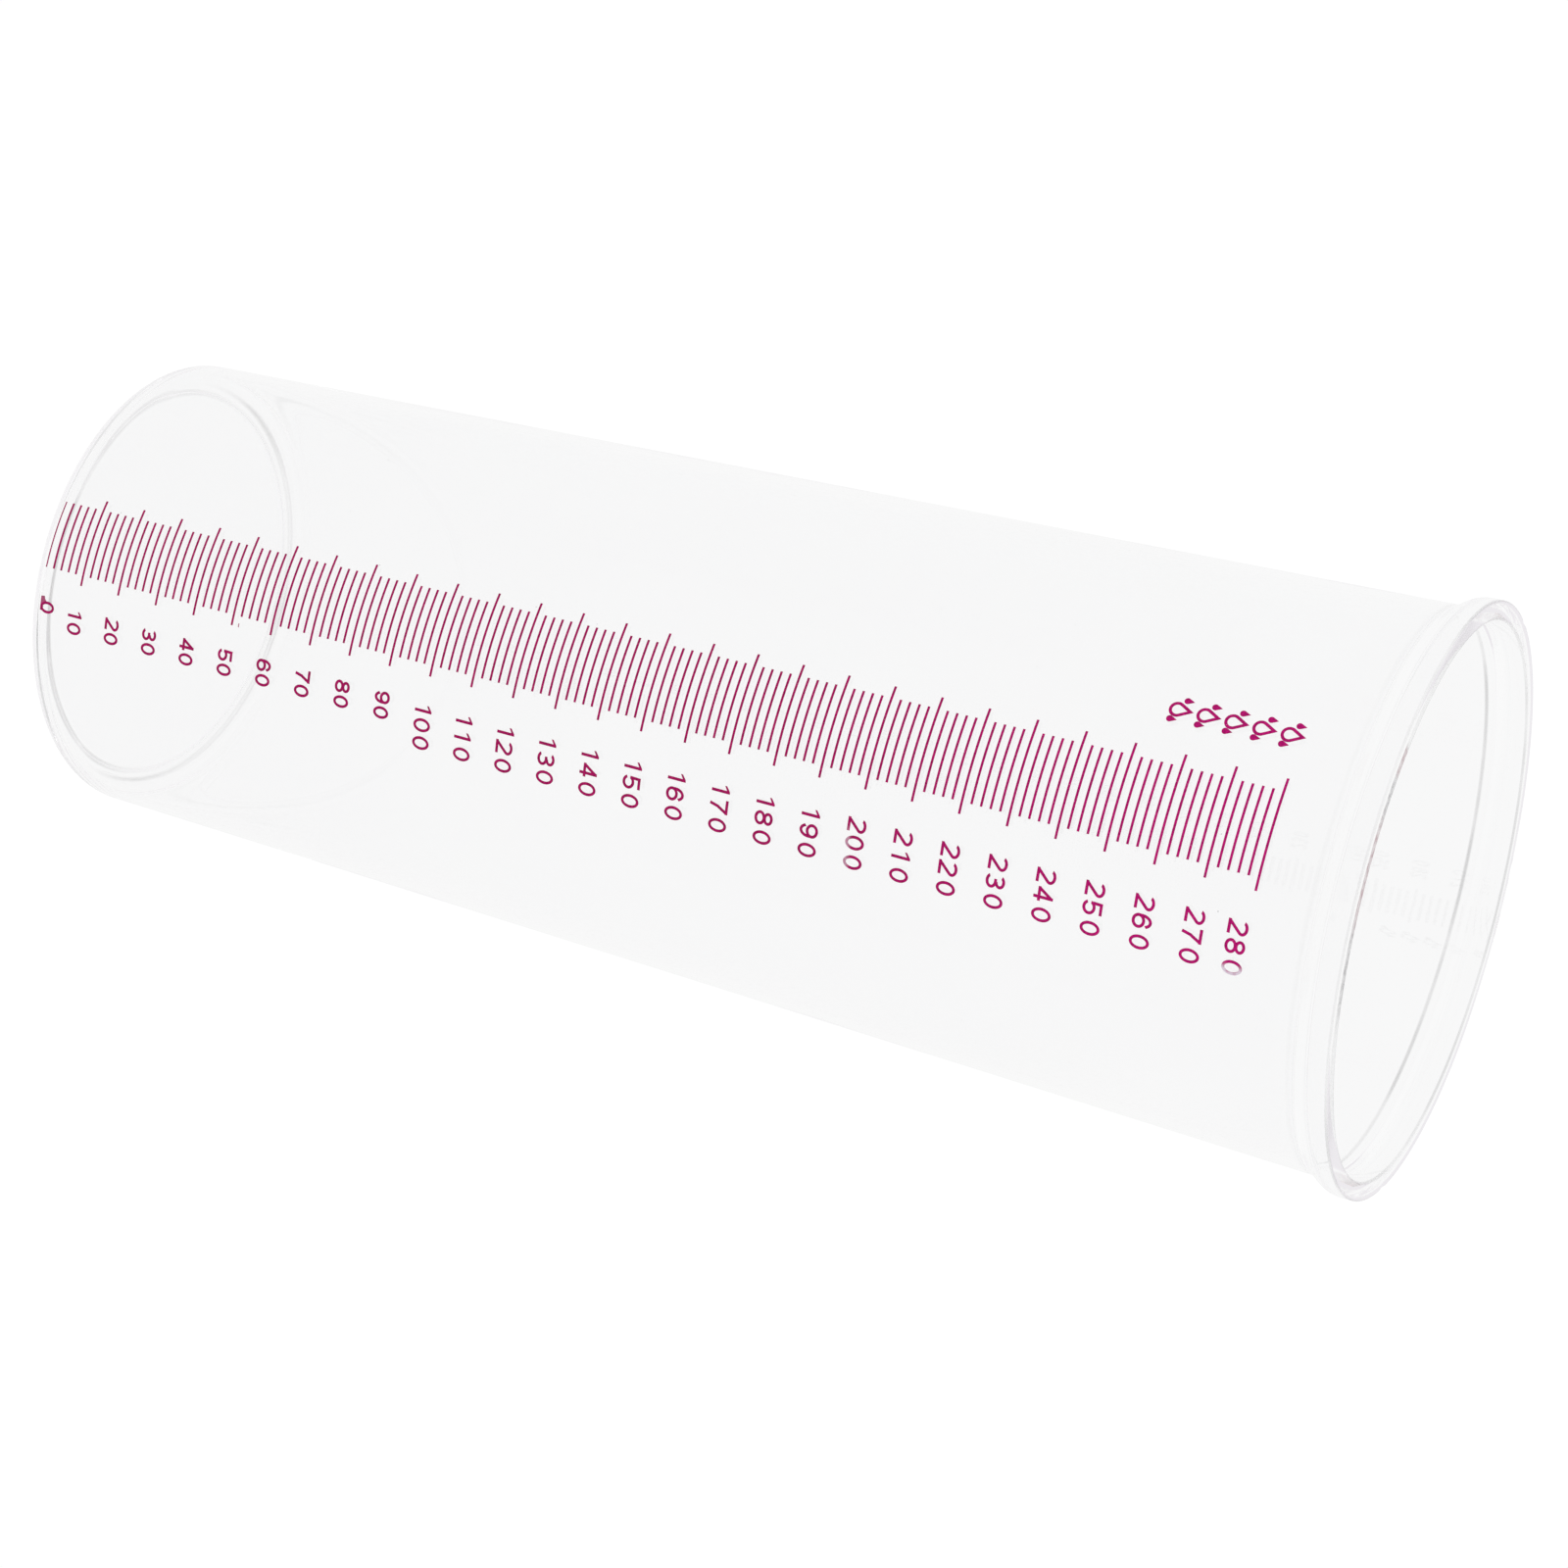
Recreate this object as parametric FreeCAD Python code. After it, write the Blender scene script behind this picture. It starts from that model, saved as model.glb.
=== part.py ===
import FreeCAD, Part
import math
import os

# Manual rain gauge: one clear moulded cylinder, open at the top, with a scale printed on its outside.
# Millimetres. +Z runs up the axis, the origin is the centre of the underside, and the printed scale
# faces -Y. Angles round the wall are measured from -Y towards +X, so they grow to a reader's right.

# ---- the moulding ----
HEIGHT = 302.4
FOOT_RADIUS = 50.76  # the wall's outer surface carried down to the underside
DRAFT = math.radians(1.285)  # the wall leans outward so that the moulding leaves its mould
WALL = 1.5
FLOOR = 1.9
FOOT_CORNER = 3.1
FLOOR_FILLET = 3.0
RECESS_RADIUS = 44.0  # shallow recess that leaves the gauge standing on a ring
RECESS_DEPTH = 0.4

# ---- the lip ----
RIM_RADIUS = 60.0
RIM_LAND = 2.1  # straight outside band of the lip, where a cap or a funnel collar sits
RIM_EDGE = 0.3
LIP_SLOPE = math.radians(35.0)  # steepest lean of the flare between wall and lip
LIP_HOLLOW_RADIUS = 3.8
LIP_ROUND_RADIUS = 5.0

# ---- the print ----
INK = 0.05
INK_GAP = 0.01  # keeps the ink film and the wall from sharing a surface
SCALE_ZERO = 3.3  # height of the zero mark above the underside
SCALE_TOP = 280
TICK_STEP = 2
NUMERAL_STEP = 10
TICK_LINE = 0.51
ZERO_LINE = 0.3
MINOR_HALF_ANGLE = 8.33
MAJOR_HALF_ANGLE = 10.76
TICK_TILT = 0.65  # degrees: the lines were printed a little lower at their right ends

# A numeral's digits sit in columns, given by the angle of each column's middle.
THREE_DIGIT_COLUMNS = (18.2, 21.85, 26.0)
TWO_DIGIT_COLUMNS = (18.0, 21.5)
THREE_DIGIT_HEIGHT = 4.05
TWO_DIGIT_HEIGHT = 3.7
DIGIT_WIDTH_RATIO = 0.71
DIGIT_PEN = 0.6
FLAG_SHARE = 0.7  # part of the pen's width by which a slanting stroke keeps clear of a corner
NUMERAL_DROP = 2.45  # how far a numeral's foot hangs below its own line
ZERO_NUMERAL_LIFT = 2.4  # the lowest numeral is raised clear of the foot corner
TOP_NUMERAL_DROP = 1.55  # the highest numeral is set a little low

# Five rain signs, one above the other, to the left of the scale: a large drop between two droplets.
RAIN_SIGN_COUNT = 5
RAIN_SIGN_ANGLE = -19.24
RAIN_SIGN_LOWEST = 253.7  # foot of the lowest sign on the scale
RAIN_SIGN_PITCH = 5.52
DROP_HEIGHT = 4.9
DROP_RADIUS = 1.6
DROP_PEN = 0.62
DROPLET_HEIGHT = 2.1
DROPLET_RADIUS = 0.65
DROPLET_REACH = 2.15  # each droplet's axis from the large drop's axis
LEFT_DROPLET_FOOT = 2.3
RIGHT_DROPLET_FOOT = 0.2

SIGN_DEPTH = 2.0  # signs are cut out of the film by prisms this deep
SIGN_MARGIN = 0.1

ORIGIN = FreeCAD.Vector(0, 0, 0)
UP = FreeCAD.Vector(0, 0, 1)
AWAY = FreeCAD.Vector(0, 1, 0)  # away from a reader who faces the scale
FULL_TURN = 360.0
QUARTER = FULL_TURN / 4
FAN_STEP = FULL_TURN / 8  # widest step of the fan that cuts an arc out of a ring


def wall_radius(z):
    """Outer radius of the leaning wall at height z."""
    return FOOT_RADIUS + z * math.tan(DRAFT)


def bore_radius(z):
    """Inner radius of the wall at height z."""
    return wall_radius(z) - WALL


def flat_point(x, z):
    """A point of the plane y = 0, where profiles and signs are drawn."""
    return FreeCAD.Vector(x, 0, z)


def on_circle(centre, radius, angle):
    """The point of a circle in the plane y = 0, at an angle from +X towards +Z."""
    return centre + flat_point(radius * math.cos(angle), radius * math.sin(angle))


def round_edge(centre, radius, start, end):
    """An arc edge in the plane y = 0 between two angles."""
    points = [on_circle(centre, radius, angle) for angle in (start, (start + end) / 2, end)]
    return Part.Arc(*points).toShape()


def joined_profile(curves):
    """A face from arcs and corner points in order, with straight edges across every gap."""
    edges = []
    first = None
    last = None
    for curve in curves:
        is_point = isinstance(curve, FreeCAD.Vector)
        start = curve if is_point else curve.valueAt(curve.FirstParameter)
        if last is not None:
            edges.append(Part.makeLine(last, start))
        if not is_point:
            edges.append(curve)
        first = start if first is None else first
        last = curve if is_point else curve.valueAt(curve.LastParameter)
    edges.append(Part.makeLine(last, first))
    return Part.Face(Part.Wire(edges))


# ---- vessel ----
def foot_corner():
    """Outer corner between the underside and the leaning wall."""
    centre_radius = wall_radius(FOOT_CORNER) - FOOT_CORNER / math.cos(DRAFT)
    return round_edge(flat_point(centre_radius, FOOT_CORNER), FOOT_CORNER, -math.pi / 2, -DRAFT)


def floor_fillet():
    """Inner corner between the wall and the floor, drawn downward."""
    centre_height = FLOOR + FLOOR_FILLET
    centre_radius = bore_radius(centre_height) - FLOOR_FILLET / math.cos(DRAFT)
    return round_edge(flat_point(centre_radius, centre_height), FLOOR_FILLET, -DRAFT, -math.pi / 2)


def lip_flare():
    """The two arcs that carry the wall out to the rim: a hollow one, then a round one."""
    land_low = HEIGHT - RIM_EDGE - RIM_LAND
    round_centre = flat_point(RIM_RADIUS - LIP_ROUND_RADIUS, land_low)
    round_arc = round_edge(round_centre, LIP_ROUND_RADIUS, -LIP_SLOPE, 0.0)
    round_start = on_circle(round_centre, LIP_ROUND_RADIUS, -LIP_SLOPE)
    hollow_rise = LIP_HOLLOW_RADIUS * (math.sin(LIP_SLOPE) - math.sin(DRAFT))
    hollow_reach = LIP_HOLLOW_RADIUS * (math.cos(DRAFT) - math.cos(LIP_SLOPE))
    slope = math.tan(LIP_SLOPE)
    # The hollow arc starts where a straight piece at LIP_SLOPE just joins the two arcs.
    climb = slope * (round_start.z - hollow_rise)
    start_z = (climb - round_start.x + wall_radius(0) + hollow_reach) / (slope - math.tan(DRAFT))
    centre_x = wall_radius(start_z) + LIP_HOLLOW_RADIUS * math.cos(DRAFT)
    centre_z = start_z - LIP_HOLLOW_RADIUS * math.sin(DRAFT)
    centre = flat_point(centre_x, centre_z)
    hollow_arc = round_edge(centre, LIP_HOLLOW_RADIUS, math.pi - DRAFT, math.pi - LIP_SLOPE)
    return [hollow_arc, round_arc]


def rim_edges():
    """The small rounds at the outside and the inside of the lip's end face."""
    edge_z = HEIGHT - RIM_EDGE
    outside = flat_point(RIM_RADIUS - RIM_EDGE, edge_z)
    inside = flat_point(bore_radius(edge_z) + RIM_EDGE, edge_z)
    quarter = math.pi / 2
    return [
        round_edge(outside, RIM_EDGE, 0.0, quarter),
        round_edge(inside, RIM_EDGE, quarter, math.pi),
    ]


def vessel():
    underside = [
        flat_point(0, RECESS_DEPTH),
        flat_point(RECESS_RADIUS, RECESS_DEPTH),
        flat_point(RECESS_RADIUS + RECESS_DEPTH, 0),
    ]
    outside = [foot_corner()] + lip_flare()
    inside = [floor_fillet(), flat_point(0, FLOOR)]
    profile = joined_profile(underside + outside + rim_edges() + inside)
    return profile.revolve(ORIGIN, UP, FULL_TURN)


# ---- ink film on the leaning wall ----
def film_section(low, high):
    """Cross-section of the ink film between two heights."""
    skin = INK_GAP + INK
    corners = [
        flat_point(wall_radius(low) + INK_GAP, low),
        flat_point(wall_radius(low) + skin, low),
        flat_point(wall_radius(high) + skin, high),
        flat_point(wall_radius(high) + INK_GAP, high),
    ]
    return Part.Face(Part.makePolygon(corners + corners[:1]))


def around(shape, angle):
    """Turn a shape drawn at -Y to its angle round the wall."""
    turned = shape.copy()
    turned.rotate(ORIGIN, UP, angle)
    return turned


def tick(value, line, half_angle):
    """One printed line of the scale, centred on -Y and tilted about its own middle."""
    middle = SCALE_ZERO + value
    section = film_section(middle - line / 2, middle + line / 2)
    from_x_axis = -90.0 - half_angle
    section.rotate(ORIGIN, UP, from_x_axis)
    mark = section.revolve(ORIGIN, UP, 2 * half_angle)
    mark.rotate(flat_point(0, middle), AWAY, TICK_TILT)
    return mark


def printed(sign, height, angle, foot):
    """Wrap a sign of some height on the wall, with its foot at height foot."""
    block = sign.copy()
    block.translate(FreeCAD.Vector(0, SIGN_DEPTH / 2 - wall_radius(foot + height / 2), foot))
    film = film_section(foot - SIGN_MARGIN, foot + height + SIGN_MARGIN)
    return around(block.common(film.revolve(ORIGIN, UP, FULL_TURN)), angle)


# ---- signs, drawn in the plane y = 0 with their foot on z = 0, then thickened towards -Y ----
def disc(centre, half_width, half_height):
    """An upright ellipse as a face."""
    side = centre + flat_point(half_width, 0)
    top = centre + flat_point(0, half_height)
    if half_width > half_height:
        curve = Part.Ellipse(side, top, centre)
    else:
        curve = Part.Ellipse(top, side, centre)
    return Part.Face(Part.Wire(curve.toShape()))


def polygon(points):
    corners = [flat_point(x, z) for x, z in points]
    return Part.Face(Part.makePolygon(corners + corners[:1]))


def thickened(faces):
    """Overlapping flat strokes as one solid, deep enough to reach through the ink film."""
    strokes = [face.extrude(FreeCAD.Vector(0, -SIGN_DEPTH, 0)) for face in faces]
    body = strokes[0]
    for stroke in strokes[1:]:
        body = body.fuse(stroke)
    return body.removeSplitter()


class Pen:
    """Draws the digits at one size. Every curve and bar is as thick as the pen."""

    def __init__(self, height):
        self.height = height
        self.half = height * DIGIT_WIDTH_RATIO / 2
        self.line = DIGIT_PEN
        self.low = self.line / 2
        self.top = height - self.line / 2

    def ring(self, middle, half_width, half_height):
        """A closed loop whose middle is at a height on the digit's axis."""
        centre = flat_point(0, middle)
        hole = disc(centre, half_width - self.line, half_height - self.line)
        return disc(centre, half_width, half_height).cut(hole)

    def arc(self, middle, half_width, half_height, start, end):
        """The part of a ring between two angles in degrees, measured from +X towards +Z."""
        reach = 2 * self.height
        steps = math.ceil((end - start) / FAN_STEP)
        fan = [(0, middle)]
        for index in range(steps + 1):
            angle = math.radians(start + (end - start) * index / steps)
            fan.append((reach * math.cos(angle), middle + reach * math.sin(angle)))
        return self.ring(middle, half_width, half_height).common(polygon(fan))

    def arc_end(self, middle, half_height, angle):
        """The point on a full-width ring's centre line at an angle in degrees."""
        x = (self.half - self.line / 2) * math.cos(math.radians(angle))
        return x, middle + (half_height - self.line / 2) * math.sin(math.radians(angle))

    def bar(self, x0, z0, x1, z1):
        """A straight stroke between two points on its centre line, with square ends."""
        length = math.hypot(x1 - x0, z1 - z0)
        across_x = (z0 - z1) / length * self.line / 2
        across_z = (x1 - x0) / length * self.line / 2
        return polygon([
            (x0 + across_x, z0 + across_z),
            (x0 - across_x, z0 - across_z),
            (x1 - across_x, z1 - across_z),
            (x1 + across_x, z1 + across_z),
        ])

    def zero(self):
        return thickened([self.ring(self.height / 2, self.half, self.height / 2)])

    def one(self):
        stem = 0.25 * self.half
        flag_tip = -0.6 * self.half
        flag_low, flag_high, flag_root = (share * self.height for share in (0.69, 0.8, 0.83))
        right = stem + self.line / 2
        left = right - self.line
        flag_start = right - FLAG_SHARE * self.line
        outline = polygon([
            (left, 0), (right, 0), (right, self.height), (flag_start, self.height),
            (flag_tip, flag_high), (flag_tip, flag_low), (left, flag_root),
        ])
        return thickened([outline])

    def two(self):
        bowl = 0.28 * self.height
        bowl_start, bowl_end = -35.0, 165.0
        base_end = 0.95 * self.half
        corner_x = FLAG_SHARE * self.line - self.half
        middle = self.height - bowl
        end_x, end_z = self.arc_end(middle, bowl, bowl_start)
        return thickened([
            self.arc(middle, self.half, bowl, bowl_start, bowl_end),
            self.bar(end_x, end_z, corner_x, FLAG_SHARE * self.line),
            self.bar(-self.half, self.low, base_end, self.low),
        ])

    def three(self):
        upper, lower = 0.265 * self.height, 0.29 * self.height
        upper_width = 0.92 * self.half
        mouth = 160.0
        waist_start, waist_end = -0.35 * self.half, 0.1 * self.half
        waist = 2 * lower - self.line / 2
        return thickened([
            self.arc(self.height - upper, upper_width, upper, -QUARTER, mouth),
            self.arc(lower, self.half, lower, -mouth, QUARTER),
            self.bar(waist_start, waist, waist_end, waist),
        ])

    def four(self):
        stem = 0.42 * self.half
        cross = 0.28 * self.height
        return thickened([
            self.bar(stem, 0, stem, self.height),
            self.bar(-self.half, cross, self.half, cross),
            self.bar(stem, self.top, self.line / 2 - self.half, cross),
        ])

    def five(self):
        bowl = 0.33 * self.height
        bowl_start, bowl_end = -160.0, 150.0
        edge = -0.62 * self.half
        flag_end = 0.85 * self.half
        end_x, end_z = self.arc_end(bowl, bowl, bowl_end)
        return thickened([
            self.arc(bowl, self.half, bowl, bowl_start, bowl_end),
            self.bar(edge, self.height, end_x, end_z - self.line / 3),
            self.bar(edge - self.line / 3, self.top, flag_end, self.top),
        ])

    def six(self):
        bowl = 0.33 * self.height
        hook_start, hook_end = 38.0, 200.0
        return thickened([
            self.ring(bowl, self.half, bowl),
            self.arc(self.height / 2, self.half, self.height / 2, hook_start, hook_end),
        ])

    def seven(self):
        knee_x, knee_z = 0.05 * self.half, 0.45 * self.height
        foot = -0.3 * self.half
        return thickened([
            self.bar(-self.half, self.top, self.half, self.top),
            self.bar(self.half - self.line / 2, self.top, knee_x, knee_z),
            self.bar(knee_x, knee_z + self.line / 4, foot, 0),
        ])

    def eight(self):
        upper, lower = 0.26 * self.height, 0.295 * self.height
        upper_width = 0.9 * self.half
        return thickened([
            self.ring(self.height - upper, upper_width, upper),
            self.ring(lower, self.half, lower),
        ])

    def nine(self):
        turned = self.six()
        turned.rotate(flat_point(0, self.height / 2), AWAY, FULL_TURN / 2)
        return turned

    def digits(self):
        """The ten digits in order, so that a digit is also its place in the list."""
        return [
            self.zero(), self.one(), self.two(), self.three(), self.four(),
            self.five(), self.six(), self.seven(), self.eight(), self.nine(),
        ]


def teardrop(radius, height, middle, foot):
    """A circle whose sides run up to a point, as a face."""
    centre = flat_point(middle, foot + radius)
    side_angle = math.asin(radius / (height - radius))
    tip = flat_point(middle, foot + height)
    bowl = round_edge(centre, radius, math.pi - side_angle, 2 * math.pi + side_angle)
    return joined_profile([bowl, tip])


def rain_sign():
    """The three parts of a rain sign: an outlined drop and a filled droplet at each side."""
    side_angle = math.asin(DROP_RADIUS / (DROP_HEIGHT - DROP_RADIUS))
    inner_radius = DROP_RADIUS - DROP_PEN
    inner_height = inner_radius + inner_radius / math.sin(side_angle)
    drop = teardrop(DROP_RADIUS, DROP_HEIGHT, 0, 0)
    hole = teardrop(inner_radius, inner_height, 0, DROP_PEN)
    left = teardrop(DROPLET_RADIUS, DROPLET_HEIGHT, -DROPLET_REACH, LEFT_DROPLET_FOOT)
    right = teardrop(DROPLET_RADIUS, DROPLET_HEIGHT, DROPLET_REACH, RIGHT_DROPLET_FOOT)
    return [thickened([face]) for face in (drop.cut(hole), left, right)]


# ---- printed nodes ----
def tick_marks(values, line, half_angle):
    return Part.Compound([tick(value, line, half_angle) for value in values])


def numeral(value, digits, height, columns):
    """A number beside its line, one digit to a column."""
    foot = SCALE_ZERO + value - NUMERAL_DROP
    if value == 0:
        foot += ZERO_NUMERAL_LIFT
    if value == SCALE_TOP:
        foot -= TOP_NUMERAL_DROP
    written = zip(str(value), columns)
    signs = [printed(digits[int(sign)], height, angle, foot) for sign, angle in written]
    return Part.Compound(signs)


def raindrop_column():
    marks = []
    for index in range(RAIN_SIGN_COUNT):
        foot = SCALE_ZERO + RAIN_SIGN_LOWEST + RAIN_SIGN_PITCH * index
        marks += [printed(part, DROP_HEIGHT, RAIN_SIGN_ANGLE, foot) for part in rain_sign()]
    return Part.Compound(marks)


def nodes():
    """Every node's name and shape."""
    values = range(TICK_STEP, SCALE_TOP + 1, TICK_STEP)
    minor = [value for value in values if value % NUMERAL_STEP]
    major = [value for value in values if not value % NUMERAL_STEP]
    small_digits = Pen(TWO_DIGIT_HEIGHT).digits()
    large_digits = Pen(THREE_DIGIT_HEIGHT).digits()
    shapes = {
        "vessel": vessel(),
        "minor_ticks": tick_marks(minor, TICK_LINE, MINOR_HALF_ANGLE),
        "major_ticks": tick_marks(major, TICK_LINE, MAJOR_HALF_ANGLE),
        "zero_tick": tick_marks([0], ZERO_LINE, MINOR_HALF_ANGLE),
        "raindrop_column": raindrop_column(),
    }
    large = (large_digits, THREE_DIGIT_HEIGHT, THREE_DIGIT_COLUMNS)
    small = (small_digits, TWO_DIGIT_HEIGHT, TWO_DIGIT_COLUMNS)
    for value in range(0, SCALE_TOP + 1, NUMERAL_STEP):
        style = large if len(str(value)) == len(THREE_DIGIT_COLUMNS) else small
        shapes[f"numeral_{value:03d}"] = numeral(value, *style)
    return shapes


os.makedirs("parts", exist_ok=True)
for name, shape in nodes().items():
    shape.exportStep(f"parts/{name}.step")
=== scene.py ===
import math

import bmesh
import bpy
from mathutils import Matrix, Vector, noise


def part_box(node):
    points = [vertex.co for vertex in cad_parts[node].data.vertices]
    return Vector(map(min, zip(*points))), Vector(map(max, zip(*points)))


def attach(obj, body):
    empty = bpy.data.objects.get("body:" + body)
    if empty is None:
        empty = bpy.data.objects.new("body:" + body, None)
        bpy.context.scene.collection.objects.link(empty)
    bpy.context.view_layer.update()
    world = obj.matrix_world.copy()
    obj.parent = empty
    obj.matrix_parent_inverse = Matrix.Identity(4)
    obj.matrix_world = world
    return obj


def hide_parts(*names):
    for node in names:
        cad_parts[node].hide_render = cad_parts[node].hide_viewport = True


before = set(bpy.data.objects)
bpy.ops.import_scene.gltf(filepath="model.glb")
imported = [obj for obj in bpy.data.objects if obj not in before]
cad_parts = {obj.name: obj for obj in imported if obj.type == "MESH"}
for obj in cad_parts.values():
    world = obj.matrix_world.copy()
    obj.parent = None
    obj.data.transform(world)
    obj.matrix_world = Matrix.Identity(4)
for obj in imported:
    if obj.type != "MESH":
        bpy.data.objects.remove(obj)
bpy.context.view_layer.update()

MM = 0.001

# ---- sizes of the moulding, in metres and radians ----
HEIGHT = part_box("vessel")[1][2]
RIM_RADIUS = 60.0 * MM
FOOT_RADIUS = 50.76 * MM
DRAFT = math.radians(1.285)
WALL = 1.5 * MM
FLOOR = 1.9 * MM
FOOT_CORNER = 3.1 * MM
FLOOR_FILLET = 3.0 * MM
RECESS_RADIUS = 44.0 * MM
RECESS_DEPTH = 0.4 * MM
RIM_LAND = 2.1 * MM
RIM_EDGE = 0.3 * MM
LIP_SLOPE = math.radians(35.0)
LIP_HOLLOW_RADIUS = 3.8 * MM
LIP_ROUND_RADIUS = 5.0 * MM
WAVE = 0.05 * MM  # slow unevenness of the bore
WAVES_PER_METRE = 14.0
NICK_DEPTH = 0.2 * MM
NICK_LENGTH = 0.035  # radians
NICKS = (0.62, 1.93, 3.40, 4.55, 5.31)  # angles of the small dents in the rim's outer edge

# ---- sizes of the print, in metres and radians ----
INK = 0.05 * MM
INK_GAP = 0.01 * MM
INK_SHOULDER = 0.04 * MM  # how far a line's rounded edge reaches in
SHOULDER_RISE = 0.6  # height of the rounded edge, as a share of the ink
FILM_BED = 0.02 * MM  # the wall is drawn this much fuller, so that the ink touches it
SCALE_ZERO = 3.3 * MM
SCALE_TOP = 280
TICK_STEP = 2
NUMERAL_STEP = 10
NUMERAL_DROP = 2.45 * MM  # a numeral's foot hangs this far below its own line
TICK_LINE = 0.51 * MM
ZERO_LINE = 0.3 * MM
MINOR_HALF_ANGLE = math.radians(8.33)
MAJOR_HALF_ANGLE = math.radians(10.76)
TICK_TILT = math.radians(0.65)
EDGE_ROUGHNESS = 0.012 * MM
ROUGH_ALONG = 90.0  # changes of the edge per radian of a line
ROUGH_BETWEEN = 3000.0  # sets neighbouring lines apart
DASH_HEIGHT = 51.75 * MM
DASH_LINE = 0.2 * MM
DASH_ANGLES = (math.radians(9.95), math.radians(10.85))
SMUDGE = 0.03 * MM
SMUDGE_OUTLINES = (  # (degrees round the wall, units of the scale)
    ((15.3, 0.8), (15.45, -0.1), (16.3, -0.1), (17.3, -0.1), (17.0, 0.6), (16.6, 1.5), (16.1, 1.05)),
    ((17.0, -0.1), (18.95, -0.1), (19.0, 0.9), (18.5, 0.55), (17.9, 0.75), (17.5, 0.45), (17.0, 0.5)),
)

# ---- looks: colours are linear, noise scales are in changes per metre ----
PLASTIC_INDEX = 1.55
PLASTIC_GRAIN = 0.01 * MM
CLEAR = (0.998, 0.998, 0.998)
CLOUDED = (0.985, 0.985, 0.988)
# painted shade of the dark lines on the plastic, and also the colour of its real dark specks
SHADE_AND_SPECKS = (0.03, 0.025, 0.03)
# painted shade on the lip's end face, and the wine red painted there for light that has passed the ink
FACE_PAINTED_SHADE = (0.10, 0.09, 0.10)
FACE_PAINTED_INK_RED = (0.14, 0.01, 0.03)
TRAPPED_NEAR = (0.70, 0.68, 0.71)
TRAPPED_FAR = (0.80, 0.77, 0.81)
TRAPPED_FOOT = (0.93, 0.925, 0.93)
PATCH_SCALE = 38.0
CLOUD_SCALE = 22.0
HAZE_SCALE = 16.0
GRAIN_SCALE = 55.0
STREAK_SCALE = (700.0, 700.0, 0.0)
SCRATCH_SCALE = (900.0, 900.0, 60.0)
STREAK_ENDS = (58.2 * MM, 59.4 * MM)  # outer radius of the painted shade streaks on the end face, at the front and elsewhere
CREASE_RISE = 0.1 * MM  # the painted dark shade line stands this far above the foot of the flare

# ink colours low and high on the scale; the ink is blended from darker to lighter going up
INK_LOWER = (0.35, 0.005, 0.095)
INK_UPPER = (0.44, 0.005, 0.145)
INK_BARE = (0.74, 0.68, 0.77)
INK_MIRRORED = (0.97, 0.97, 0.97)
INK_GRAIN = 0.012 * MM
MOTTLE_SCALE = 2600.0
WEAR_SCALE = 1500.0
GLOSS_SCALE = 900.0
FILM_SCALE = 1800.0
SMUDGE_THINNESS = 0.12

WHITE = (1.0, 1.0, 1.0)
FLOOR_BODY = (0.02, 0.02, 0.02)
FLOOR_DARK = (0.917, 0.917, 0.917)
FLOOR_PALE = (0.937, 0.937, 0.937)
FLOOR_SCALE = 3.0
SKY_STOPS = ((0.05, 0.942), (0.45, 0.983))  # (share of the way up, grey)

# ---- how finely the shapes are drawn ----
SECTORS = 384  # facets round the vessel
TICK_SECTORS = 28  # facets along a printed line
LONG_FACET = 5.0 * MM
GUARD_FACET = 0.15 * MM  # a short facet at each end of a straight part, to hold its shading
CORNER_FACETS = 14
HOLLOW_FACETS = 12
EDGE_FACETS = 6
STEP_FACETS = 4
ON_AXIS = 1e-7
BOUNCES = 28  # light that meets the plastic's skin this often counts as trapped
QUARTER = math.pi / 2


def wall_radius(z):
    return FOOT_RADIUS + z * math.tan(DRAFT)


def skin_radius(z):
    return wall_radius(z) + FILM_BED


def bore_radius(z):
    return wall_radius(z) - WALL


# ---- profile of the vessel, as (radius, height) points ----
def arc(centre, radius, start, end, count):
    """Points along an arc of the profile, angles from outward towards up."""
    points = []
    for index in range(count + 1):
        angle = start + (end - start) * index / count
        points.append((centre[0] + radius * math.cos(angle), centre[1] + radius * math.sin(angle)))
    return points


def straight(start, end):
    """Points between two corners, with one close to each end to hold the corner's shading."""
    length = math.dist(start, end)
    inner = length - 2 * GUARD_FACET
    if inner < 2 * GUARD_FACET:
        return []
    count = max(1, round(inner / LONG_FACET))
    shares = [(GUARD_FACET + inner * index / count) / length for index in range(count + 1)]
    return [
        (start[0] + (end[0] - start[0]) * share, start[1] + (end[1] - start[1]) * share)
        for share in shares
    ]


def lip_flare():
    """The hollow arc and the round arc between wall and rim, from the wall up."""
    land_low = HEIGHT - RIM_EDGE - RIM_LAND
    round_centre = (RIM_RADIUS - LIP_ROUND_RADIUS, land_low)
    round_arc = arc(round_centre, LIP_ROUND_RADIUS, -LIP_SLOPE, 0.0, CORNER_FACETS)
    rise = LIP_HOLLOW_RADIUS * (math.sin(LIP_SLOPE) - math.sin(DRAFT))
    reach = LIP_HOLLOW_RADIUS * (math.cos(DRAFT) - math.cos(LIP_SLOPE))
    slope = math.tan(LIP_SLOPE)
    start_x, start_z = round_arc[0]
    base = slope * (start_z - rise) - start_x + skin_radius(0.0) + reach
    z = base / (slope - math.tan(DRAFT))
    centre = (
        skin_radius(z) + LIP_HOLLOW_RADIUS * math.cos(DRAFT),
        z - LIP_HOLLOW_RADIUS * math.sin(DRAFT),
    )
    hollow = arc(centre, LIP_HOLLOW_RADIUS, math.pi - DRAFT, math.pi - LIP_SLOPE, HOLLOW_FACETS)
    return [hollow, round_arc]


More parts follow.
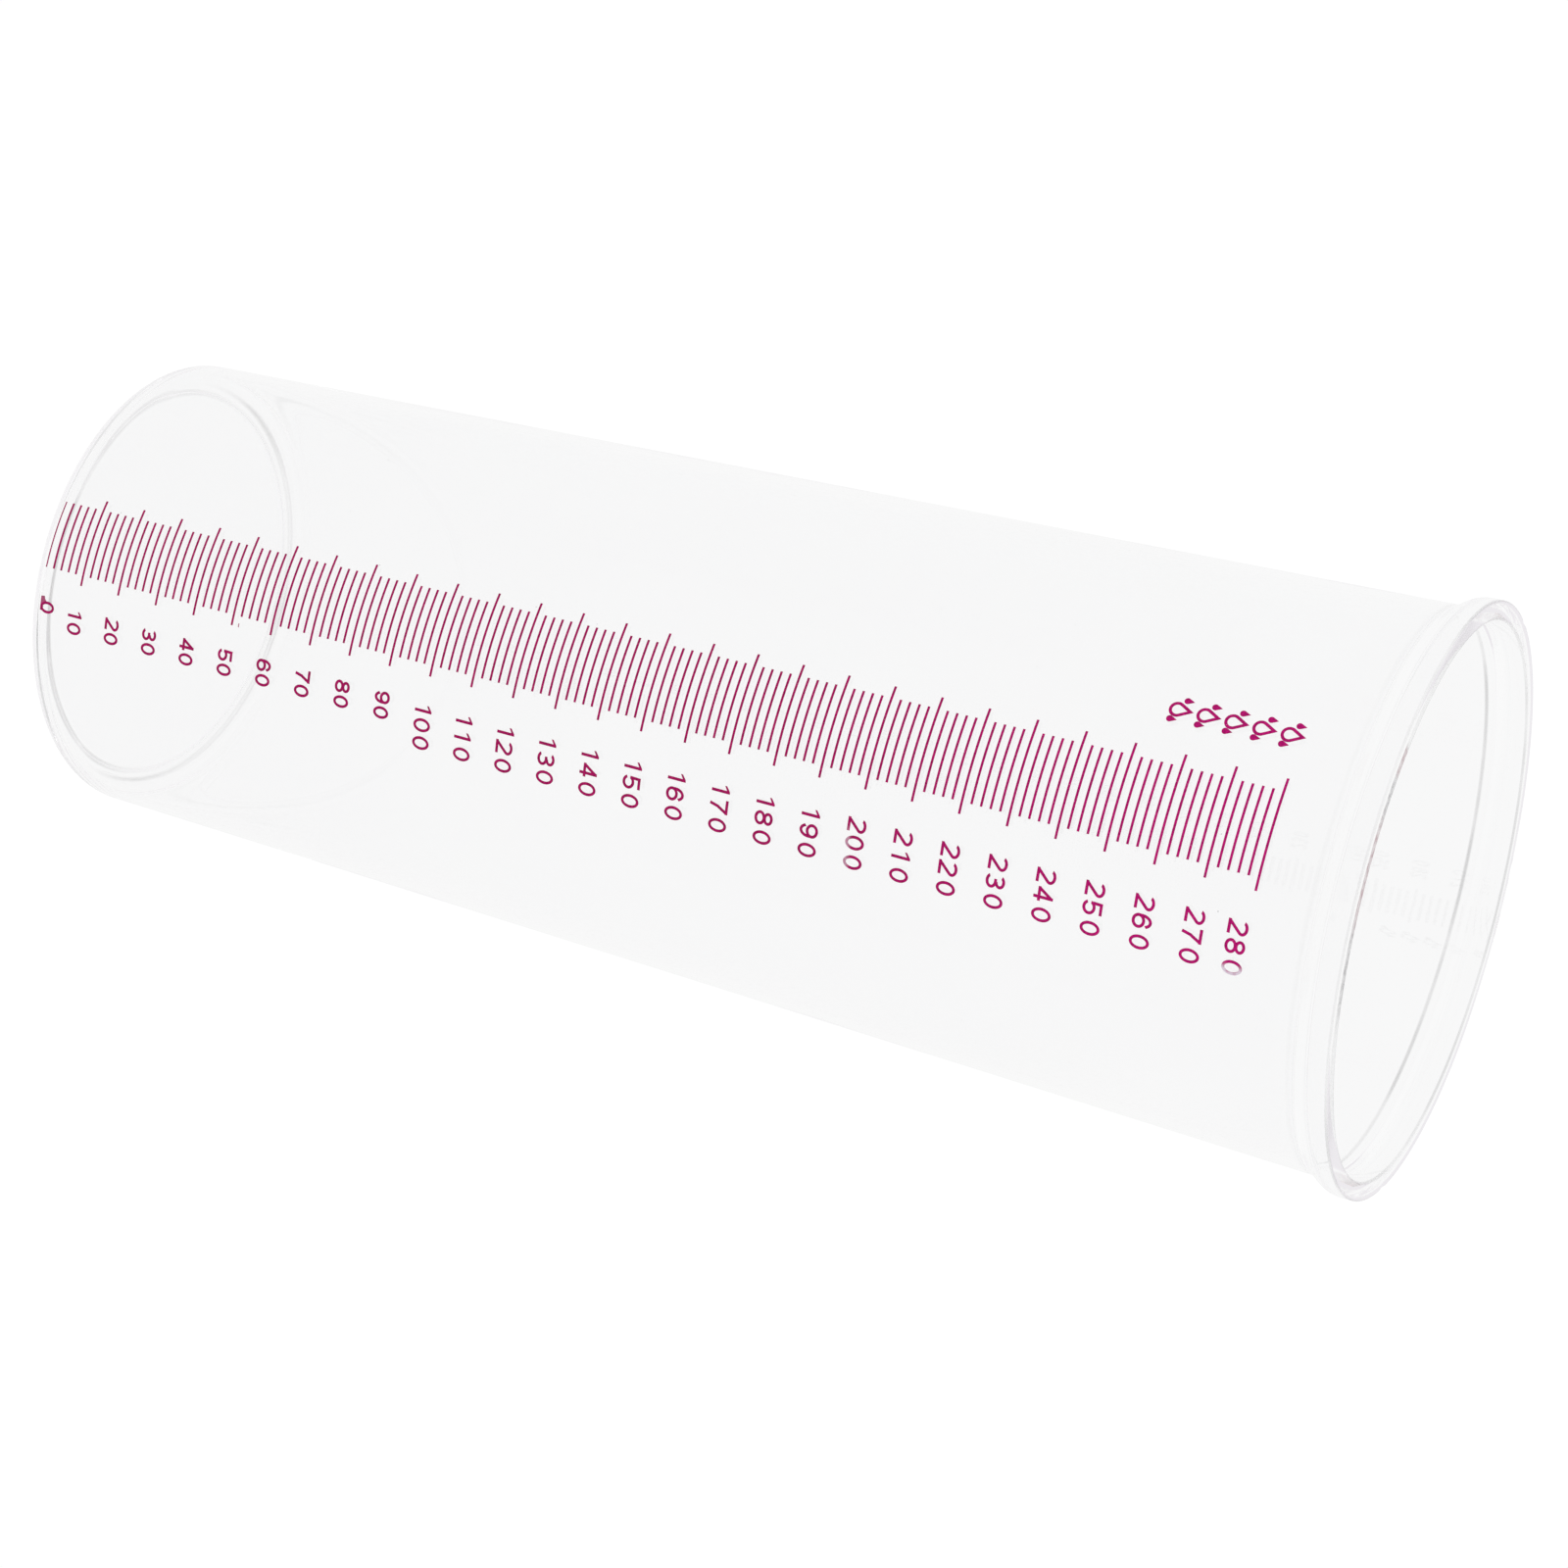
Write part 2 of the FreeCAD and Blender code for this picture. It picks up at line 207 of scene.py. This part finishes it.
def profile_parts():
    """Arcs and single points in order, from the axis on the underside to the axis on the floor."""
    corner_x = skin_radius(FOOT_CORNER) - FOOT_CORNER / math.cos(DRAFT)
    fillet_z = FLOOR + FLOOR_FILLET
    fillet_x = bore_radius(fillet_z) - FLOOR_FILLET / math.cos(DRAFT)
    edge_z = HEIGHT - RIM_EDGE
    step = RECESS_DEPTH / 2
    parts = [
        [(0.0, RECESS_DEPTH)],
        arc((RECESS_RADIUS, step), step, QUARTER, 0.0, STEP_FACETS),
        arc((RECESS_RADIUS + 2 * step, step), step, math.pi, 3 * QUARTER, STEP_FACETS),
        arc((corner_x, FOOT_CORNER), FOOT_CORNER, -QUARTER, -DRAFT, CORNER_FACETS),
    ]
    parts += lip_flare()
    parts += [
        arc((RIM_RADIUS - RIM_EDGE, edge_z), RIM_EDGE, 0.0, QUARTER, EDGE_FACETS),
        arc((bore_radius(edge_z) + RIM_EDGE, edge_z), RIM_EDGE, QUARTER, math.pi, EDGE_FACETS),
        arc((fillet_x, fillet_z), FLOOR_FILLET, -DRAFT, -QUARTER, CORNER_FACETS),
        [(0.0, FLOOR)],
    ]
    return parts


def vessel_profile():
    parts = profile_parts()
    points = list(parts[0])
    for part in parts[1:]:
        points += straight(points[-1], part[0])
        points += part
    return points


# ---- meshes ----
def on_wall(radius, angle, height):
    """A point at an angle from -Y towards +X."""
    return Vector((radius * math.sin(angle), -radius * math.cos(angle), height))


def new_object(name, mesh_builder, material):
    """A piece from a bmesh, riding on the root body."""
    mesh = bpy.data.meshes.new(name)
    bm = bmesh.new()
    mesh_builder(bm)
    bmesh.ops.recalc_face_normals(bm, faces=bm.faces)
    bm.to_mesh(mesh)
    bm.free()
    mesh.materials.append(material)
    piece = bpy.data.objects.new(name, mesh)
    bpy.context.scene.collection.objects.link(piece)
    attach(piece, "root")
    return piece


def lathe(bm, profile, sectors):
    """Turn a profile that starts and ends on the axis into a closed skin."""
    rings = []
    for radius, height in profile:
        if radius < ON_AXIS:
            rings.append([bm.verts.new((0.0, 0.0, height))])
            continue
        rings.append([
            bm.verts.new(on_wall(radius, 2 * math.pi * index / sectors, height))
            for index in range(sectors)
        ])
    for low, high in zip(rings, rings[1:]):
        for index in range(sectors):
            following = (index + 1) % sectors
            corners = [low[index % len(low)], low[following % len(low)]]
            corners += [high[following % len(high)], high[index % len(high)]]
            face = bm.faces.new(list(dict.fromkeys(corners)))
            face.smooth = True


def dent(co):
    """How deep a nick goes at a point of the rim's outer edge."""
    if co.z < HEIGHT - 1.2 * RIM_EDGE or co.xy.length < RIM_RADIUS - 2 * RIM_EDGE:
        return 0.0
    angle = math.atan2(co.x, -co.y) % (2 * math.pi)
    return sum(NICK_DEPTH * max(0.0, 1 - abs(angle - nick) / NICK_LENGTH) for nick in NICKS)


def in_bore(co):
    """True on the tapered inside of the wall."""
    upright = FLOOR + FLOOR_FILLET < co.z < HEIGHT - RIM_EDGE
    return upright and co.xy.length < wall_radius(co.z) - WALL / 2


def build_vessel(bm):
    lathe(bm, vessel_profile(), SECTORS)
    for vert in bm.verts:
        radius = vert.co.xy.length
        if radius < FLOOR_FILLET:
            continue
        outward = Vector((vert.co.x / radius, vert.co.y / radius, 0.0))
        if in_bore(vert.co):
            vert.co += outward * WAVE * noise.noise(vert.co * WAVES_PER_METRE)
        vert.co -= (outward + Vector((0.0, 0.0, 0.5))) * dent(vert.co)


def film_ring(line, unevenness):
    """Cross-section of a printed line, as points (out of the wall, up the wall)."""
    half = line / 2 + unevenness
    low = INK_GAP
    middle = INK_GAP + SHOULDER_RISE * INK
    high = INK_GAP + INK
    return [
        (low, -half), (middle, -half), (high, INK_SHOULDER - half),
        (high, half - INK_SHOULDER), (middle, half), (low, half),
    ]


def build_line(bm, middle, line, start, end):
    """One printed line round the wall, tilted like the rest of the print."""
    sections = []
    for index in range(TICK_SECTORS + 1):
        angle = start + (end - start) * index / TICK_SECTORS
        place = Vector((angle * ROUGH_ALONG, middle * ROUGH_BETWEEN, 0.0))
        rough = EDGE_ROUGHNESS * noise.noise(place)
        section = []
        for out, up in film_ring(line, rough):
            height = middle + up * math.cos(TICK_TILT)
            flat = wall_radius(middle + up) + out
            height -= flat * math.sin(angle) * math.sin(TICK_TILT)
            section.append(bm.verts.new(on_wall(wall_radius(height) + out, angle, height)))
        sections.append(section)
    for here, there in zip(sections, sections[1:]):
        for index in range(len(here)):
            following = (index + 1) % len(here)
            bm.faces.new([here[index], here[following], there[following], there[index]])
    bm.faces.new(sections[0])
    bm.faces.new(sections[-1])


def lines_builder(values, line, half_angle):
    def build(bm):
        for value in values:
            build_line(bm, SCALE_ZERO + value * MM, line, -half_angle, half_angle)
    return build


def build_dash(bm):
    """A stray speck of ink beside the scale."""
    build_line(bm, SCALE_ZERO + DASH_HEIGHT, DASH_LINE, *DASH_ANGLES)


def build_smudge(bm):
    """Ink drawn out over the foot of the lowest numeral, as thin flat patches."""
    for outline in SMUDGE_OUTLINES:
        skins = []
        for out in (INK_GAP, INK_GAP + SMUDGE):
            skin = []
            for angle, up in outline:
                height = SCALE_ZERO + up * MM
                place = on_wall(wall_radius(height) + out, math.radians(angle), height)
                skin.append(bm.verts.new(place))
            skins.append(skin)
        inner, outer = skins
        for index in range(len(outline)):
            following = (index + 1) % len(outline)
            bm.faces.new([inner[index], inner[following], outer[following], outer[index]])
        bm.faces.new(inner)
        bm.faces.new(outer)


# ---- materials ----
class Shading:
    """A material's node tree. Each call takes numbers, colours or outputs and gives an output."""

    def __init__(self, name):
        self.material = bpy.data.materials.new(name)
        self.material.use_nodes = True
        self.nodes = self.material.node_tree.nodes
        self.links = self.material.node_tree.links
        self.shader = self.nodes["Principled BSDF"]
        self.place = self.nodes.new("ShaderNodeTexCoord").outputs["Object"]

    def feed(self, socket, value):
        if isinstance(value, bpy.types.NodeSocket):
            self.links.new(value, socket)
        elif isinstance(value, tuple) and socket.type == "RGBA":
            socket.default_value = (*value, 1.0)
        else:
            socket.default_value = value

    def surface(self, **values):
        for name, value in values.items():
            self.feed(self.shader.inputs[name.replace("_", " ")], value)

    def math(self, operation, *values):
        node = self.nodes.new("ShaderNodeMath")
        node.operation = operation
        for socket, value in zip(node.inputs, values):
            self.feed(socket, value)
        return node.outputs["Value"]

    def times(self, *values):
        product = values[0]
        for value in values[1:]:
            product = self.math("MULTIPLY", product, value)
        return product

    def highest(self, *values):
        top = values[0]
        for value in values[1:]:
            top = self.math("MAXIMUM", top, value)
        return top

    def ease(self, value, start, end, low=0.0, high=1.0):
        """low up to start, high from end on, and a smooth step between."""
        node = self.nodes.new("ShaderNodeMapRange")
        node.interpolation_type = "SMOOTHSTEP"
        inputs = {"Value": value, "From Min": start, "From Max": end, "To Min": low, "To Max": high}
        for name, given in inputs.items():
            self.feed(node.inputs[name], given)
        return node.outputs["Result"]

    def between(self, share, low, high):
        """low where share is 0, high where it is 1."""
        return self.ease(share, 0.0, 1.0, low, high)

    def band(self, value, centre, core, fade):
        """1 close to centre, easing to 0 on both sides."""
        away = self.math("ABSOLUTE", self.math("SUBTRACT", value, centre))
        return self.ease(away, core, core + fade, 1.0, 0.0)

    def stretched(self, scale):
        node = self.nodes.new("ShaderNodeVectorMath")
        node.operation = "MULTIPLY"
        self.feed(node.inputs[0], self.place)
        self.feed(node.inputs[1], scale)
        return node.outputs["Vector"]

    def scaled(self, vector, scale):
        node = self.nodes.new("ShaderNodeVectorMath")
        node.operation = "SCALE"
        self.feed(node.inputs["Vector"], vector)
        self.feed(node.inputs["Scale"], scale)
        return node.outputs["Vector"]

    def noise(self, scale, detail=2.0, vector=None):
        node = self.nodes.new("ShaderNodeTexNoise")
        self.feed(node.inputs["Vector"], self.place if vector is None else vector)
        self.feed(node.inputs["Scale"], scale)
        self.feed(node.inputs["Detail"], detail)
        return node.outputs["Fac"]

    def specks(self, cell, radius, share):
        """1 inside sparse small grains. cell is their usual spacing, share how many cells hold one."""
        node = self.nodes.new("ShaderNodeTexVoronoi")
        self.feed(node.inputs["Vector"], self.place)
        self.feed(node.inputs["Scale"], 1.0 / cell)
        near = self.ease(node.outputs["Distance"], 0.6 * radius / cell, radius / cell, 1.0, 0.0)
        split = self.nodes.new("ShaderNodeSeparateColor")
        self.feed(split.inputs["Color"], node.outputs["Color"])
        return self.times(near, self.math("LESS_THAN", split.outputs["Red"], share))

    def mix(self, factor, first, second):
        node = self.nodes.new("ShaderNodeMix")
        node.data_type = "RGBA"
        self.feed(node.inputs["Factor"], factor)
        for name, value in (("A", first), ("B", second)):
            socket = next(s for s in node.inputs if s.name == name and s.type == "RGBA")
            self.feed(socket, value)
        return next(s for s in node.outputs if s.type == "RGBA")

    def bump(self, height, distance):
        node = self.nodes.new("ShaderNodeBump")
        self.feed(node.inputs["Height"], height)
        self.feed(node.inputs["Distance"], distance)
        self.feed(node.inputs["Strength"], 1.0)
        return node.outputs["Normal"]

    def axes(self):
        node = self.nodes.new("ShaderNodeSeparateXYZ")
        self.feed(node.inputs["Vector"], self.place)
        return node.outputs["X"], node.outputs["Y"], node.outputs["Z"]

    def radius(self, x, y):
        return self.math("SQRT", self.math("ADD", self.times(x, x), self.times(y, y)))

    def round_angle(self, x, y):
        """Degrees from -Y towards +X."""
        return self.times(self.math("ARCTAN2", x, self.times(y, -1.0)), 180.0 / math.pi)

    def light_path(self, output):
        return self.nodes.new("ShaderNodeLightPath").outputs[output]


class PlasticShading(Shading):
    """The clear plastic's tree, with the places on the vessel that its painted shade lines and end-face
    shade need.
    """

    def __init__(self):
        super().__init__("clear_plastic")
        x, self.y, self.z = self.axes()
        self.from_axis = self.radius(x, self.y)
        self.angle = self.round_angle(x, self.y)
        middle = self.math("ADD", self.times(self.z, math.tan(DRAFT)), FOOT_RADIUS - WALL / 2)
        self.outside = self.math("GREATER_THAN", self.from_axis, middle)
        self.inside = self.math("SUBTRACT", 1.0, self.outside)
        self.patchy = self.ease(self.noise(PATCH_SCALE), start=0.38, end=0.62, low=0.45)
        self.at_top = self.ease(self.z, start=HEIGHT - 1.6 * RIM_EDGE, end=HEIGHT - 1.2 * RIM_EDGE)
        self.away_from_front = self.ease(self.y, start=-RIM_RADIUS, end=-0.35 * RIM_RADIUS)
        self.far_side = self.ease(self.y, start=-0.3 * FOOT_RADIUS, end=0.3 * FOOT_RADIUS)


def painted_crease_shade(look):
    """Painted shade: the dark line where the wall turns into the flare, strongest where a view ray leaves
    the skin.
    """
    foot_of_flare = lip_flare()[0][0][1]
    leaving = look.nodes.new("ShaderNodeNewGeometry").outputs["Backfacing"]
    line = look.band(look.z, foot_of_flare + CREASE_RISE, core=0.12 * MM, fade=0.45 * MM)
    return look.times(line, look.outside, look.patchy, look.between(leaving, 0.05, 0.55))


def painted_rim_shade(look):
    """Painted shade: the two thin dark lines at the edges of the lip's end face."""
    outer = look.band(look.from_axis, RIM_RADIUS, core=0.15 * MM, fade=0.4 * MM)
    outer = look.times(outer, look.between(look.away_from_front, 0.2, 0.4))
    inner = look.band(look.from_axis, bore_radius(HEIGHT), core=0.3 * MM, fade=0.45 * MM)
    return look.times(look.highest(outer, look.times(inner, 0.4)), look.at_top, look.patchy)


def painted_end_face_shade(look):
    """How strongly the lip's end face is painted with shade and refracted ink colour, in streaks, most of
    all over the print.
    """
    streaks = look.noise(1.0, vector=look.stretched(STREAK_SCALE))
    outer_end = look.between(look.away_from_front, *STREAK_ENDS)
    past_end = look.math("SUBTRACT", look.from_axis, outer_end)
    face = look.times(look.ease(past_end, start=0.0, end=0.4 * MM, low=1.0, high=0.0), look.at_top)
    pale = look.times(
        look.ease(look.away_from_front, start=0.75, end=1.0, low=0.27, high=0.0),
        look.ease(streaks, start=0.3, end=0.7, low=0.8, high=1.15),
    )
    over_print = look.times(
        look.ease(look.angle, start=-24.0, end=-21.0),
        look.ease(look.angle, start=24.0, end=40.0, low=1.0, high=0.0),
    )
    dark = look.times(over_print, look.ease(streaks, start=0.3, end=0.7, low=0.6, high=0.95))
    return look.times(look.highest(pale, dark), face)


def end_face_painted_light(look):
    """Painted shade and refraction: grey, with wine red in two places where light has passed the ink."""
    wide_place = look.band(look.angle, 3.0, core=7.0, fade=6.0)
    narrow_place = look.band(look.angle, -19.0, core=2.0, fade=2.0)
    return look.mix(look.highest(wide_place, narrow_place), FACE_PAINTED_SHADE, FACE_PAINTED_INK_RED)


def painted_floor_ring_shade(look):
    """Painted shade: the ring where the floor inside meets its fillet, seen only on the far side."""
    fillet_x = bore_radius(FLOOR + FLOOR_FILLET) - FLOOR_FILLET
    ring = look.band(look.from_axis, fillet_x, core=0.2 * MM, fade=0.5 * MM)
    low = look.ease(look.z, start=FLOOR + 0.2 * MM, end=FLOOR + 0.5 * MM, low=1.0, high=0.0)
    return look.times(ring, low, look.inside, look.patchy, look.far_side, 0.35)


def painted_step_shade(look):
    """Painted shade: the ring at the edge of the recess, darkest and widest below the print."""
    step_middle = RECESS_RADIUS + RECESS_DEPTH / 2
    below_print = look.band(look.angle, 12.0, core=18.0, fade=16.0)
    from_step = look.math("SUBTRACT", look.from_axis, step_middle)
    from_step = look.times(from_step, look.between(below_print, 1.0, 0.85))
    ring = look.band(from_step, 0.0, core=0.4 * MM, fade=0.5 * MM)
    at_foot = look.ease(look.z, start=1.2 * RECESS_DEPTH, end=1.5 * RECESS_DEPTH, low=1.0, high=0.0)
    share = look.between(look.far_side, look.between(below_print, 0.45, 0.6), 0.12)
    return look.times(ring, at_foot, share, look.highest(look.patchy, below_print))


def plastic_colour(look):
    """Nearly colourless, a little cloudy, with painted shade lines and real dark specks laid over it, and
    painted shade and refracted ink on the lip's end face.
    """
    grains = look.times(look.specks(cell=11.0 * MM, radius=0.2 * MM, share=0.45), 0.7)
    # painted shade lines at the crease, rim, floor fillet and recess step, together with the real dark
    # specks
    marks = look.highest(painted_crease_shade(look), painted_rim_shade(look), painted_floor_ring_shade(look), painted_step_shade(look), grains)
    shaded_plastic = look.mix(marks, look.mix(look.noise(CLOUD_SCALE), CLOUDED, CLEAR), SHADE_AND_SPECKS)
    return look.mix(painted_end_face_shade(look), shaded_plastic, end_face_painted_light(look))


def scuff_haze(look):
    """Fine upright scratches, in patches."""
    scratches = look.noise(1.0, detail=3.0, vector=look.stretched(SCRATCH_SCALE))
    patches = look.noise(HAZE_SCALE)
    return look.times(
        look.ease(scratches, start=0.70, end=0.76),
        look.ease(patches, start=0.5, end=0.62),
    )


def trapped_glow(look):
    """The pale lilac grey that stands in for light trapped in the plastic."""
    depth = look.ease(look.y, start=-0.9 * RIM_RADIUS, end=-0.2 * RIM_RADIUS)
    above_foot = look.ease(look.z, start=20.0 * MM, end=80.0 * MM)
    return look.mix(above_foot, TRAPPED_FOOT, look.mix(depth, TRAPPED_NEAR, TRAPPED_FAR))


def clear_plastic():
    """Clear moulding with painted dark shade lines, painted shade and refracted ink on the lip's end
    face, dark specks and light scuffs. Trapped light leaves it pale lilac.
    """
    look = PlasticShading()
    haze = scuff_haze(look)
    grain = look.math("ADD", look.noise(GRAIN_SCALE), look.times(haze, 0.2))
    trapped = look.math("COMPARE", look.light_path("Ray Depth"), float(BOUNCES), 0.5)
    look.surface(
        Base_Color=plastic_colour(look), Transmission_Weight=1.0, IOR=PLASTIC_INDEX,
        Roughness=look.times(haze, 0.10), Normal=look.bump(grain, PLASTIC_GRAIN),
        Emission_Color=trapped_glow(look), Emission_Strength=trapped,
    )
    look.material.cycles.emission_sampling = "NONE"
    return look.material


def worn_places(look, angle, z):
    """Where the last numeral is rubbed away and the foot of 200 is thin."""
    top_foot = SCALE_ZERO + (SCALE_TOP - 5) * MM
    foot_of_200 = SCALE_ZERO + 200 * MM - NUMERAL_DROP
    rubbed = look.times(
        look.ease(angle, start=25.0, end=26.6),
        look.ease(z, start=top_foot, end=top_foot + 1.0 * MM),
    )
    thin = look.times(
        look.band(z, foot_of_200, core=0.5 * MM, fade=1.0 * MM),
        look.ease(angle, start=18.0, end=21.0),
        0.4,
    )
    uneven = look.ease(look.noise(WEAR_SCALE), start=0.30, end=0.50, low=0.45)
    return look.times(look.highest(look.times(rubbed, 0.9), thin), uneven)


def ink_colour(look, thinness):
    """Crimson, lighter towards the top and mottled, paler where it is thin or worn."""
    x, y, z = look.axes()
    crimson = look.mix(look.ease(z, start=170.0 * MM, end=285.0 * MM), INK_LOWER, INK_UPPER)
    mottle = look.noise(MOTTLE_SCALE, detail=3.0)
    mottled = look.scaled(crimson, look.ease(mottle, start=0.35, end=0.65, low=0.78, high=1.22))
    pin_holes = look.times(look.specks(cell=0.9 * MM, radius=0.07 * MM, share=0.2), 0.6)
    bare = look.highest(worn_places(look, look.round_angle(x, y), z), pin_holes, thinness)
    mirrored = look.math("COMPARE", look.light_path("Glossy Depth"), 1.0, 0.1)
    return look.mix(mirrored, look.mix(bare, mottled, INK_BARE), INK_MIRRORED)


def scale_ink(name, thinness):
    """Screen-printing ink. It is left nearly white in reflections, which hardly show it."""
    look = Shading(name)
    roughness = look.ease(look.noise(GLOSS_SCALE), start=0.3, end=0.7, low=0.38, high=0.62)
    film = look.bump(look.noise(FILM_SCALE, detail=4.0), INK_GRAIN)
    colour = ink_colour(look, thinness)
    look.surface(Base_Color=colour, Roughness=roughness, Normal=film, Specular_IOR_Level=0.05)
    return look.material


def floor_white():
    """Pale floor that glows evenly, a little greyer where it is seen through the plastic."""
    look = Shading("floor_white")
    shade = look.mix(look.noise(FLOOR_SCALE), FLOOR_DARK, FLOOR_PALE)
    glow = look.mix(look.light_path("Is Camera Ray"), shade, WHITE)
    look.surface(Base_Color=FLOOR_BODY, Roughness=0.9, Specular_IOR_Level=0.0)
    look.surface(Emission_Color=glow, Emission_Strength=1.0)
    return look.material


# ---- the pieces ----
PLASTIC = clear_plastic()
CRIMSON = scale_ink("scale_ink", thinness=0.0)
THIN_CRIMSON = scale_ink("thin_scale_ink", thinness=SMUDGE_THINNESS)


def add_vessel():
    vessel = new_object("clear_vessel", build_vessel, PLASTIC)
    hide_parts("vessel")


def add_lines(node_name, values, line, half_angle):
    build = lines_builder(values, line, half_angle)
    lines = new_object(f"printed_{node_name}", build, CRIMSON)
    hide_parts(node_name)


def add_scale():
    marks = range(TICK_STEP, SCALE_TOP + 1, TICK_STEP)
    short_marks = [mark for mark in marks if mark % NUMERAL_STEP]
    long_marks = [mark for mark in marks if not mark % NUMERAL_STEP]
    add_lines("minor_ticks", short_marks, TICK_LINE, MINOR_HALF_ANGLE)
    add_lines("major_ticks", long_marks, TICK_LINE, MAJOR_HALF_ANGLE)
    add_lines("zero_tick", [0], ZERO_LINE, MINOR_HALF_ANGLE)


def ink_numerals_and_signs():
    """Give the numerals and the column of signs, which come from the frame, the scene's ink."""
    for name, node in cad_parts.items():
        if name.startswith("numeral_") or name == "raindrop_column":
            node.data.materials.clear()
            node.data.materials.append(CRIMSON)


def add_stray_ink():
    new_object("stray_ink", build_dash, CRIMSON)
    new_object("ink_smudge", build_smudge, THIN_CRIMSON)


# ---- camera ----
CAMERA_EYE = Vector((0.05645, -0.66523, 0.45778))
CAMERA_YAW = math.radians(-4.05)
CAMERA_PITCH = math.radians(-23.89)
CAMERA_ROLL = math.radians(104.50)
CAMERA_LENS = 79.6
CAMERA_SENSOR = 36.0
CAMERA_REACH = 100.0


def add_camera():
    forward = Vector((
        math.sin(CAMERA_YAW) * math.cos(CAMERA_PITCH),
        math.cos(CAMERA_YAW) * math.cos(CAMERA_PITCH),
        math.sin(CAMERA_PITCH),
    ))
    level = Vector((math.cos(CAMERA_YAW), -math.sin(CAMERA_YAW), 0.0))
    above = level.cross(forward)
    right = math.cos(CAMERA_ROLL) * level + math.sin(CAMERA_ROLL) * above
    up = math.cos(CAMERA_ROLL) * above - math.sin(CAMERA_ROLL) * level
    data = bpy.data.cameras.new("camera")
    data.lens = CAMERA_LENS
    data.sensor_width = CAMERA_SENSOR
    data.clip_end = CAMERA_REACH
    camera = bpy.data.objects.new("camera", data)
    turn = Matrix((right, up, -forward)).transposed()
    camera.matrix_world = Matrix.Translation(CAMERA_EYE) @ turn.to_4x4()
    bpy.context.scene.collection.objects.link(camera)
    bpy.context.scene.camera = camera


# ---- floor and surroundings ----
FLOOR_HALF = 20.0
FLOOR_DROP = 0.2 * MM  # keeps the floor clear of the foot


def add_floor():
    mesh = bpy.data.meshes.new("floor")
    bm = bmesh.new()
    signs = ((-1, -1), (1, -1), (1, 1), (-1, 1))
    bm.faces.new([bm.verts.new((x * FLOOR_HALF, y * FLOOR_HALF, -FLOOR_DROP)) for x, y in signs])
    bm.to_mesh(mesh)
    bm.free()
    mesh.materials.append(floor_white())
    floor = bpy.data.objects.new("floor", mesh)
    bpy.context.scene.collection.objects.link(floor)


def add_world():
    """Even pale light from all round, a little brighter from above, white where seen directly."""
    world = bpy.data.worlds.new("studio")
    world.use_nodes = True
    nodes = world.node_tree.nodes
    links = world.node_tree.links
    place = nodes.new("ShaderNodeTexCoord")
    split = nodes.new("ShaderNodeSeparateXYZ")
    links.new(place.outputs["Generated"], split.inputs["Vector"])
    ramp = nodes.new("ShaderNodeValToRGB")
    links.new(split.outputs["Z"], ramp.inputs["Fac"])
    for stop, (position, grey) in zip(ramp.color_ramp.elements, SKY_STOPS):
        stop.position = position
        stop.color = (grey, grey, grey, 1.0)
    backdrop = nodes.new("ShaderNodeMix")
    backdrop.data_type = "RGBA"
    first, second = [s for s in backdrop.inputs if s.type == "RGBA"]
    blended = next(s for s in backdrop.outputs if s.type == "RGBA")
    links.new(nodes.new("ShaderNodeLightPath").outputs["Is Camera Ray"], backdrop.inputs["Factor"])
    links.new(ramp.outputs["Color"], first)
    second.default_value = (*WHITE, 1.0)
    links.new(blended, nodes["Background"].inputs["Color"])
    bpy.context.scene.world = world


def set_bounces():
    cycles = bpy.context.scene.cycles
    cycles.max_bounces = BOUNCES
    cycles.transmission_bounces = BOUNCES
    cycles.glossy_bounces = BOUNCES


add_vessel()
add_scale()
ink_numerals_and_signs()
add_stray_ink()
add_camera()
add_floor()
add_world()
set_bounces()
bpy.context.scene.view_settings.view_transform = "Standard"
